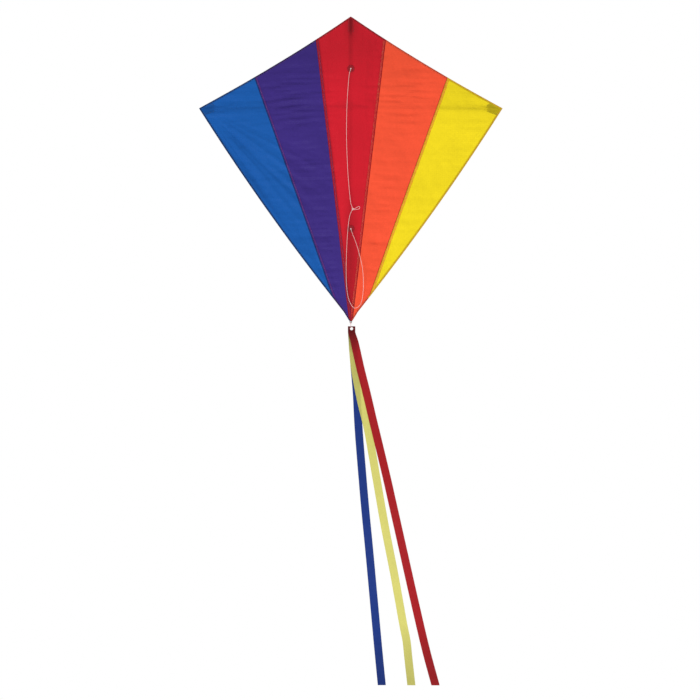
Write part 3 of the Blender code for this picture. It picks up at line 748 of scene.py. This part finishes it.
class Stitches:
    """Rows of small rounded stitches gathered into one mesh."""

    def __init__(self):
        self.verts = []
        self.faces = []

    def one(self, a, b, radius=0.00017):
        along = (b - a).normalized()
        normal = along.orthogonal().normalized()
        other = along.cross(normal)
        base = len(self.verts)
        self.verts.append(a)
        for share in (0.22, 0.78):
            mid = a.lerp(b, share)
            for k in range(5):
                t = 2.0 * math.pi * k / 5
                self.verts.append(mid + (normal * math.cos(t) + other * math.sin(t)) * radius)
        self.verts.append(b)
        for k in range(5):
            j = (k + 1) % 5
            self.faces.append((base, base + 1 + j, base + 1 + k))
            self.faces.append((base + 1 + k, base + 1 + j, base + 6 + j, base + 6 + k))
            self.faces.append((base + 11, base + 6 + k, base + 6 + j))

    def along(self, side, line, inward, depths, pitch=0.0031, share=0.74):
        """A row on the sail that follows line at a distance inward, at each of the depths."""
        path = [(x + nx * inward, z + nz * inward) for x, z, nx, nz in line]
        path = [(x, z) for x, z in path if 0.0008 < x < half_width(z) - 0.0014]
        if len(path) < 3:
            return
        total = sum(math.dist(a, b) for a, b in zip(path, path[1:]))
        count = int(total / pitch)
        marks = []
        at = 0
        run = 0.0
        for i in range(count):
            pair = []
            for want in (i * pitch, i * pitch + pitch * share):
                while at < len(path) - 2 and run + math.dist(path[at], path[at + 1]) < want:
                    run += math.dist(path[at], path[at + 1])
                    at += 1
                t = min(1.0, (want - run) / max(math.dist(path[at], path[at + 1]), 1e-9))
                pair.append((path[at][0] + (path[at + 1][0] - path[at][0]) * t,
                             path[at][1] + (path[at + 1][1] - path[at][1]) * t))
            marks.append(pair)
        for (ax, az), (bx, bz) in marks:
            for depth in depths:
                self.one(sail(side, side * ax, az, depth), sail(side, side * bx, bz, depth))

    def object(self, name, stuff):
        uvs = [(p[0], p[2]) for p in self.verts]
        return build(name, self.verts, self.faces, uvs, stuff)


# ---------------- panels, hems and seams
TONES = {-1: ("red", "purple", "blue"), 1: ("red", "orange", "yellow")}
# Cross-section of the hem and the seams' strips: distance inward and depth behind the cloth
HEM = [(0.0030, -0.00002), (0.0027, -0.00030), (0.0016, -0.00046), (0.0005, -0.00042), (0.0, -0.00025),
       (-0.00025, 0.00015), (0.0001, 0.00055), (HEM_W * 0.5, 0.00066), (HEM_W, 0.00060),
       (HEM_W + 0.0002, 0.00010)]
LAP = [(-0.0004, 0.00055), (0.0008, 0.00045), (SEAM_W * 0.5, 0.00050), (SEAM_W, 0.00045),
       (SEAM_W + 0.0002, 0.00015)]
ROLL = [(-0.0007, 0.00005), (-0.0005, -0.00030), (0.0001, -0.00050), (0.0007, -0.00034), (0.0010, 0.00005)]
FELL = [(0.0034, 0.00004), (0.0037, -0.00028), (0.0046, -0.00034), (0.0054, -0.00028), (0.0057, 0.00004)]
for side in (-1, 1):
    tag = SIDE_NAME[side]
    red, middle, wing = TONES[side]
    cloths = {}
    cloths[red] = panel("red_cloth_" + tag, side, lambda z: 0.0,
                        lambda z: min(max(inner_seam(z), 0.0), half_width(z)), TAIL_Z, NOSE_Z, 30, CLOTH[red])
    cloths[middle] = panel(middle + "_cloth", side, lambda z: min(inner_seam(z), half_width(z)),
                           lambda z: min(outer_seam(z), half_width(z)), -0.5335, INNER_TOP, 52, CLOTH[middle])
    cloths[wing] = panel(wing + "_cloth", side, outer_seam, half_width, OUTER_LOW, OUTER_TOP, 64, CLOTH[wing])
    spans = {red: [(NOSE_Z - 0.0004, INNER_TOP)],
             middle: [(INNER_TOP, OUTER_TOP), (OUTER_LOW, TAIL_Z)],
             wing: [(OUTER_TOP, 0.0002), (-0.0002, OUTER_LOW)]}
    for tone in (red, middle, wing):
        rows = Stitches()
        for k, (z_from, z_to) in enumerate(spans[tone]):
            line = edge_line(z_from, z_to)
            if z_to == TAIL_Z:
                line[-1] = (*line[-1][:2], -1.0, 0.0)
            hem = strip(f"hem_{tone}_{tag}_{k}", side, line, HEM, HEMS_PAINTED_SHADE[tone], spill=0.0003)
            bend_with_wing(hem)
            rows.along(side, line[1:-1], 0.0034, (-0.00014, 0.00078))
        sewn = rows.object(f"hem_stitches_{tone}_{tag}", THREAD[tone])
        bend_with_wing(sewn)
        obj, area = cloths[tone]
        nodes = {"red": ["sail_red_panel_" + tag]}.get(tone, [f"sail_{tone}_panel"])
        if tone == "red" and side > 0:
            nodes.append("sail_red_panel_centre")
        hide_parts(*nodes)
        bend_with_wing(obj)

    outer_lap = middle if side > 0 else wing
    lay = {"inner": (inner_seam, INNER_TOP, TAIL_Z + 0.002, -1.0, middle, red),
           "outer": (outer_seam, OUTER_TOP, OUTER_LOW, float(side), outer_lap, outer_lap)}
    for kind, (seam, z_top, z_low, toward, lap_tone, ridge) in lay.items():
        line = [(x, z, abs(nx) * toward, nz * toward * math.copysign(1.0, nx))
                for x, z, nx, nz in seam_line(seam, z_top - 0.0008, z_low + 0.0008)]
        lap = strip(f"seam_lap_{kind}_{tag}", side, line, LAP, CLOTH[lap_tone])
        roll = strip(f"seam_roll_{kind}_{tag}", side, line, ROLL, HEMS_PAINTED_SHADE[ridge])
        fell = strip(f"seam_fell_{kind}_{tag}", side, line, FELL, FELLS_PAINTED_LIGHT_AND_SHADE[f"{kind}_{tag}"])
        rows = Stitches()
        rows.along(side, line[1:-2], 0.0046, (-0.00046, 0.00068))
        rows.along(side, line[1:-2], 0.0023, (-0.00016, 0.00068))
        sewn = rows.object(f"seam_stitches_{kind}_{tag}", THREAD[lap_tone])
        for piece in (lap, roll, fell, sewn):
            bend_with_wing(piece)


# ---------------- pockets and bridle patches
def thicken(obj, thickness, offset):
    solid = obj.modifiers.new("thickness", "SOLIDIFY")
    solid.thickness = thickness
    solid.offset = offset


def flange(v, half, height, grip=0.0042):
    """Depth of pocket cloth behind the sail, v across the rod it wraps."""
    return 0.0009 + (height - 0.0009) * math.exp(-(abs(v) / grip) ** 4) * ease((half - abs(v)) / 0.001 + 0.2)


def spine_pocket(name, node, height, closed_up):
    """Cloth pocket sewn to the sail on both sides of the spine; with closed_up it narrows and shuts at its
    upper end.
    """
    low_c, high_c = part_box(node)
    half = (high_c.x - low_c.x) / 2.0 - 0.0002
    rows = 15
    columns = 29
    verts = []
    uvs = []
    for r in range(rows):
        share = r / (rows - 1)
        z = low_c.z + (high_c.z - low_c.z) * share
        wide = half * (1.0 - 0.27 * share) if closed_up else half
        shut = ease((1.0 - share) / 0.07) if closed_up else 1.0
        for c in range(columns):
            v = wide * (2.0 * c / (columns - 1) - 1.0)
            pucker = 0.00012 * math.sin(z * 2100.0 + c)
            depth = flange(v, wide, height) * shut + 0.0009 * (1.0 - shut) + pucker
            verts.append(Vector((v, sail(1 if v > 0.0 else -1, v, z).y + depth + 0.00025, z)))
            uvs.append(uv_of(v, z))
    obj = build(name, verts, [f[::-1] for f in lattice(rows, columns)], uvs, CLOTH["black"])
    thicken(obj, 0.0003, -1.0)
    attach(obj, "frame")
    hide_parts(node)
    rows_on = Stitches()
    for sign in (-1, 1):
        wide = half * (0.80 if closed_up else 0.92)
        for i in range(int((high_c.z - low_c.z) / 0.0026)):
            z = low_c.z + 0.001 + i * 0.0026
            here = sign * wide * (1.0 - (0.24 if closed_up else 0.0) * (z - low_c.z) / (high_c.z - low_c.z))
            face = sail(1 if here > 0.0 else -1, here, z).y
            for y in (face + 0.00155, face - 0.00014):
                rows_on.one(Vector((here, y, z)), Vector((here, y, z + 0.0019)))
    sewn = rows_on.object(name + "_stitches", THREAD["black"])
    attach(sewn, "frame")


spine_pocket("nose_pocket_cloth", "nose_pocket", 0.0084, True)
spine_pocket("tail_pocket_cloth", "tail_pocket", 0.0081, False)


def tip_pocket(side):
    """Cloth pocket behind the wing tip, open towards the spine, that holds the spar's end."""
    tag = SIDE_NAME[side]
    x_open = 0.3415
    x_shut = 0.3785
    rows = 26
    columns = 43
    verts = []
    uvs = []
    for r in range(rows):
        x = x_open + (x_shut - x_open) * r / (rows - 1)
        leading = NOSE_Z * (HALF_SPAN - x) / (HALF_SPAN + LEAD_HOLLOW) - 0.0012
        top = min(0.0075 + 0.62 * (x - x_open), leading)
        foot = -min(0.0092 + 0.34 * (x - x_open), (HALF_SPAN - 0.0006 - x) * 1.5)
        shut = 1.0 - ease((x - 0.3738) / 0.0042)
        for c in range(columns):
            share = max(0.0, min(1.0, (c - 1) / (columns - 3)))
            z = foot + (top - foot) * share
            hump = math.exp(-(abs(z) / 0.0043) ** 4) * shut if 0 < c < columns - 1 else 0.0
            depth = 0.0009 + 0.0077 * hump
            verts.append(sail(side, side * x, z, depth + 0.00015 * math.sin(x * 1900.0 + c)))
            uvs.append(uv_of(side * x, z))
    faces = lattice(rows, columns)
    if side < 0:
        faces = [f[::-1] for f in faces]
    obj = build("tip_pocket_cloth_" + tag, verts, faces, uvs, CLOTH["black"])
    thicken(obj, 0.0003, 0.0)
    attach(obj, WING[side])
    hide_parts("wing_tip_pocket_" + tag)
    rows_on = Stitches()
    upper_row = [(x_open + 0.0012, 0.0066), (0.3512, 0.0123), (0.3740, 0.0022)]
    lower_row = [(x_open + 0.0012, -0.0084), (0.3655, -0.0162), (0.3752, -0.0062)]
    for corners in (upper_row, lower_row):
        for (ax, az), (bx, bz) in zip(corners, corners[1:]):
            count = int(math.dist((ax, az), (bx, bz)) / 0.0026)
            for i in range(count):
                for depth in (-0.00014, 0.00125):
                    ends = [sail(side, side * (ax + (bx - ax) * t), az + (bz - az) * t, depth)
                            for t in (i / count, (i + 0.72) / count)]
                    rows_on.one(*ends)
    sewn = rows_on.object("tip_pocket_stitches_" + tag, THREAD["black"])
    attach(sewn, WING[side])


for side in (-1, 1):
    tip_pocket(side)


def bridle_patch(tag):
    """Round cloth patch with a turned edge, a hole for the line and a ring of stitches."""
    low_c, high_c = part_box("bridle_patch_" + tag)
    centre = (low_c + high_c) / 2.0
    outer = (high_c.x - low_c.x) / 2.0
    hole = 0.0026
    profile = [(hole, 0.0), (hole + 0.0002, -0.00035), (hole + 0.0009, -0.00055), (hole + 0.0016, -0.00035),
               (outer * 0.62, -0.00022), (outer * 0.80, -0.00030), (outer * 0.93, -0.00045),
               (outer * 0.99, -0.00030), (outer, 0.0)]
    steps = 56
    verts = []
    uvs = []
    for radius, lift in profile:
        for k in range(steps):
            a = 2.0 * math.pi * k / steps
            wave = 1.0 + 0.012 * math.sin(7.0 * a) * (radius > outer * 0.7)
            x = centre.x + radius * wave * math.cos(a)
            z = centre.z + radius * wave * math.sin(a)
            verts.append((x, high_c.y + lift - 0.0001, z))
            uvs.append(uv_of(x, z))
    faces = lattice(len(profile), steps, closed=True)
    obj = build("bridle_patch_cloth_" + tag, verts, faces, uvs, CLOTH["patch"])
    thicken(obj, 0.0002, -1.0)
    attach(obj, "frame")
    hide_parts("bridle_patch_" + tag)
    rows_on = Stitches()
    for ring_r, count, lift in ((outer * 0.80, 22, 0.00058), (hole + 0.0013, 12, 0.00078)):
        for i in range(count):
            turns = [2.0 * math.pi * (i + share) / count for share in (0.0, 0.66)]
            y = high_c.y - lift
            ends = [Vector((centre.x + ring_r * math.cos(a), y, centre.z + ring_r * math.sin(a)))
                    for a in turns]
            rows_on.one(*ends, 0.00020)
    sewn = rows_on.object("bridle_patch_stitches_" + tag, THREAD["red"])
    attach(sewn, "frame")


for tag in ("upper", "lower"):
    bridle_patch(tag)

# ---------------- soft necks between fitting and sleeves
for side in (-1, 1):
    profile = [(0.0046, 0.0027), (0.0052, 0.0031), (0.0058, 0.0029), (0.0070, 0.0027), (0.0082, 0.0028),
               (0.0094, 0.0032), (0.0104, 0.0036), (0.0112, 0.00385), (0.0132, 0.00385), (0.0140, 0.0036)]
    verts = []
    uvs = []
    for x, radius in profile:
        middle_y = HINGE.y + max(0.0, x - FOLD_X) * math.tan(DIHEDRAL)
        for k in range(28):
            a = 2.0 * math.pi * k / 28
            verts.append((side * x, middle_y + radius * math.cos(a), radius * math.sin(a)))
            uvs.append((k / 28.0 * 0.02, x))
    faces = lattice(len(profile), 28, closed=True)
    if side > 0:
        faces = [f[::-1] for f in faces]
    neck = build("sleeve_neck_" + SIDE_NAME[side], verts, faces, uvs, VINYL)
    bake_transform(neck)

# ---------------- streamers
STREAM_HOLE = Vector(joints["streamer_yellow_sway"]["pos_m"])
# Centre line of each streamer as (z, x), from below the hole to the cut end
STREAMERS = {
    "red": [(-0.597, 0.0115), (-0.657, 0.0250), (-0.717, 0.0400), (-0.777, 0.0540),
            (-0.837, 0.0685), (-0.927, 0.0900), (-0.987, 0.1035), (-1.107, 0.1305), (-1.227, 0.1575),
            (-1.347, 0.1855), (STREAM_END_Z, 0.2105)],
    "yellow": [(-0.609, 0.0060), (-0.657, 0.0110), (-0.735, 0.0260), (-0.807, 0.0430),
               (-0.927, 0.0640), (-1.047, 0.0850), (-1.167, 0.1085), (-1.287, 0.1300), (-1.330, 0.1385),
               (-1.372, 0.1430), (STREAM_END_Z, 0.1505)],
    "blue": [(-0.597, 0.0050), (-0.657, 0.0100), (-0.717, 0.0150), (-0.777, 0.0180),
             (-0.837, 0.0220), (-0.987, 0.0345), (-1.107, 0.0460), (-1.227, 0.0570), (-1.347, 0.0680),
             (STREAM_END_Z, 0.0770)],
}


def streamer(tone, phase):
    """Ribbon of cloth that hangs from the string by a punched hole, with a slow flutter."""
    node = "streamer_" + tone
    low_c, high_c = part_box(node)
    y_mid = (low_c.y + high_c.y) / 2.0
    route = [(STREAM_HOLE.z, STREAM_HOLE.x)] + STREAMERS[tone]
    line = smooth_route([(x, 0.0, z) for z, x in route], 210)
    hole = line[0]
    across = 9
    verts = []
    uvs = []
    faces = []

    def wave(place, side_share):
        away = (place - hole).length
        far = ease((away - 0.05) / 0.5)
        slow = 0.0072 * far * math.sin(away * 11.0 + 0.5)
        curl = 0.00022 * (1.0 - side_share ** 2) * math.sin(away * 60.0)
        crinkle = noise.noise(Vector((side_share * 0.6, phase * 3.0, away * 70.0))) * 0.00035 * (0.4 + far)
        return slow + curl + crinkle

    margin = 0.0060
    top = hole.z + margin
    foot = hole.z - margin
    rings = 4
    half_top = 0.0092
    corners = [(half_top, -margin), (half_top, margin), (-half_top, margin), (-half_top, -margin)]
    border = []
    for k in range(4):
        (ax, az), (bx, bz) = corners[k], corners[(k + 1) % 4]
        border += [(ax + (bx - ax) * i / 10.0, az + (bz - az) * i / 10.0) for i in range(10)]
    steps = len(border)
    for r in range(rings):
        share = r / (rings - 1)
        for bx, bz in border:
            reach = math.hypot(bx, bz)
            radius = HOLE_R + (reach - HOLE_R) * share
            x = hole.x + bx / reach * radius
            z = hole.z + bz / reach * radius
            verts.append(Vector((x, y_mid, z)))
            uvs.append(((x - hole.x) + 0.5, z + 2.0))
    faces += [f[::-1] for f in lattice(rings, steps, closed=True)]
    base = len(verts)
    lower = [p for p in line if p.z < foot - 0.001]
    away = lower[0].x - hole.x
    rail = [Vector((hole.x, 0.0, foot))]
    for point in lower:
        rail.append(point - Vector((away * (1.0 - ease((foot - point.z) / 0.030)), 0.0, 0.0)))
    run = 0.0
    for i, point in enumerate(rail):
        before = rail[max(i - 1, 0)]
        after = rail[min(i + 1, len(rail) - 1)]
        along = (after - before).normalized()
        if i:
            run += (point - before).length
        level = Vector((1.0, 0.0, 0.0))
        square = 1.0 if i == len(rail) - 1 else 1.0 - ease(run / 0.030)
        normal = Vector((-along.z, 0.0, along.x)).lerp(level, square)
        width = 2.0 * half_top + (RIBBON_W - 2.0 * half_top) * ease(run / 0.05)
        for c in range(across):
            s = 2.0 * c / (across - 1) - 1.0
            place = point + normal * (s * width / 2.0)
            verts.append(Vector((place.x, y_mid + wave(place, s) * ease(run / 0.03), place.z)))
            uvs.append((s * width / 2.0 + 0.5, foot - run + 2.0))
    faces += [tuple(base + i for i in f) for f in lattice(len(rail), across)]
    obj = build("streamer_cloth_" + tone, verts, faces, uvs, RIBBON[tone])
    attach(obj, node)
    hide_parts(node)
    length = run + top - foot
    return length


for tone, phase in (("red", 0.4), ("yellow", 0.9), ("blue", 1.3)):
    streamer(tone, phase)

# ---------------- floor
floor_mesh = bpy.data.meshes.new("floor")
FLOOR_R = 12.0
FLOOR_Z = -4.0
FLOOR_SIDES = 96
turns = [2.0 * math.pi * i / FLOOR_SIDES for i in range(FLOOR_SIDES)]
rim = [(FLOOR_R * math.cos(a), FLOOR_R * math.sin(a), FLOOR_Z) for a in turns]
floor_mesh.from_pydata(rim, [], [tuple(range(FLOOR_SIDES))])
floor = bpy.data.objects.new("floor", floor_mesh)
bpy.context.scene.collection.objects.link(floor)
paper = Tree("studio_floor")
tone_of_paper = paper.mix(paper.noise(paper.place(), 3.0), (0.90, 0.90, 0.90), (0.94, 0.94, 0.94))
paper.put(paper.shader.inputs["Base Color"], tone_of_paper)
paper.shader.inputs["Roughness"].default_value = 0.9
floor_mesh.materials.append(paper.material)
